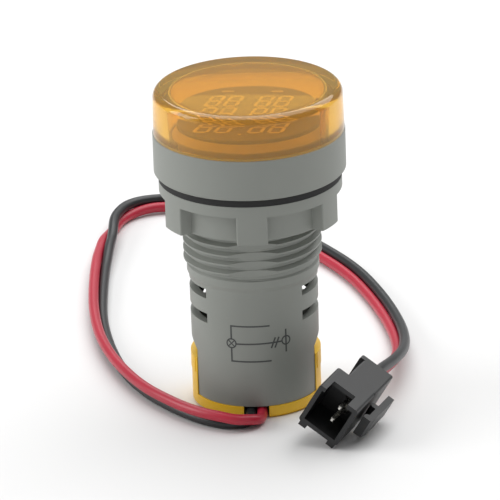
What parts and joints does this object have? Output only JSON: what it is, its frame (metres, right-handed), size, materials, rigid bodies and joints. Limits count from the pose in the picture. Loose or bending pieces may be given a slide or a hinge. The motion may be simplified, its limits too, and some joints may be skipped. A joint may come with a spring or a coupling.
{
  "type": "panel-mount digital power indicator",
  "caption": "Round panel-mount digital meter with an amber lens, threaded barrel, panel nut, yellow terminal cover and a twin lead ending in a two-way connector.",
  "frame": {"origin": "centre of the underside of the terminal cover, on the barrel's axis; the floor that the meter stands on is z = 0", "axes": "+Z along the barrel's axis towards the lens; -Y is the side where the lead comes out"},
  "size_m": [0.0514, 0.1088, 0.052],
  "materials": {
    "grey_plastic": "fine moulded texture",
    "amber_lens": "clear amber, polished",
    "white_plastic": "moulded",
    "display_film": "dark diffusing film",
    "segment_light": "diffusing, unlit",
    "circuit_board": "solder mask",
    "tinned_metal": "tinned",
    "black_rubber": "matt",
    "yellow_plastic": "slightly translucent",
    "black_plastic": "fine moulded texture",
    "brass": "bright",
    "plated_steel": "zinc plated",
    "capacitor_case": "moulded case",
    "capacitor_sleeve": "shrunk sleeve",
    "resistor_body": "lacquered",
    "lead_pvc": "soft insulation"
  },
  "bodies": {
    "meter_body": {"housing": "grey_plastic", "lens": "amber_lens", "display_module": "white_plastic", "display_face": "display_film", "digit_segments": "segment_light", "unit_windows": "segment_light", "display_board": "circuit_board", "header_pins": "tinned_metal", "terminal_block": "black_plastic", "terminal_contact_1": "brass", "terminal_contact_2": "brass", "main_board": "circuit_board", "film_capacitor": "capacitor_case", "smoothing_capacitor": "capacitor_sleeve", "dropper_resistors": "resistor_body", "bridge_rectifier": "black_plastic", "meter_chip": "black_plastic", "inner_leads": "lead_pvc", "cord": "lead_pvc", "connector_housing": "black_plastic", "connector_pin_1": "tinned_metal", "connector_pin_2": "tinned_metal", "connector_leads": "lead_pvc"},
    "gasket": {"gasket": "black_rubber"},
    "panel_nut": {"mounting_nut": "grey_plastic"},
    "terminal_cover": {"terminal_cover": "yellow_plastic"},
    "clamp_1": {"clamp_washer_1": "plated_steel"},
    "clamp_2": {"clamp_washer_2": "plated_steel"},
    "screw_1": {"terminal_screw_1": "plated_steel"},
    "screw_2": {"terminal_screw_2": "plated_steel"},
    "latch": {"connector_latch": "black_plastic"}
  },
  "joints": [
    {"name": "gasket_travel", "type": "slide", "parent": "meter_body", "child": "gasket", "axis": [0, 0, 1], "range_m": [-0.006, 0]},
    {"name": "nut_turn", "type": "hinge", "parent": "gasket", "child": "panel_nut", "pos_m": [0, 0, 0.034], "axis": [0, 0, 1], "range_deg": [-1440, 0]},
    {"name": "clamp_1_travel", "type": "slide", "parent": "meter_body", "child": "clamp_1", "axis": [0, 0, 1], "range_m": [0, 0.00075]},
    {"name": "screw_1_turn", "type": "hinge", "parent": "clamp_1", "child": "screw_1", "pos_m": [-0.00406, 0.0006, 0.004], "axis": [0, 0, 1], "range_deg": [0, 540]},
    {"name": "clamp_2_travel", "type": "slide", "parent": "meter_body", "child": "clamp_2", "axis": [0, 0, 1], "range_m": [0, 0.00075]},
    {"name": "screw_2_turn", "type": "hinge", "parent": "clamp_2", "child": "screw_2", "pos_m": [0.00406, 0.0006, 0.004], "axis": [0, 0, 1], "range_deg": [0, 540]},
    {"name": "cover_slide", "type": "slide", "parent": "meter_body", "child": "terminal_cover", "axis": [0, 0, -1], "range_m": [0, 0.01]},
    {"name": "latch_press", "type": "hinge", "parent": "meter_body", "child": "latch", "pos_m": [0.01732, -0.01757, 0.0034], "axis": [0.4851, -0.2059, 0.8499], "range_deg": [0, 8], "stiffness_Nm_per_rad": 0.05}
  ],
  "couplings": [
    {"joint": "nut_turn", "follows": "gasket_travel", "rad_per_m": 4188.8},
    {"joint": "screw_1_turn", "follows": "clamp_1_travel", "rad_per_m": 12566},
    {"joint": "screw_2_turn", "follows": "clamp_2_travel", "rad_per_m": 12566}
  ]
}
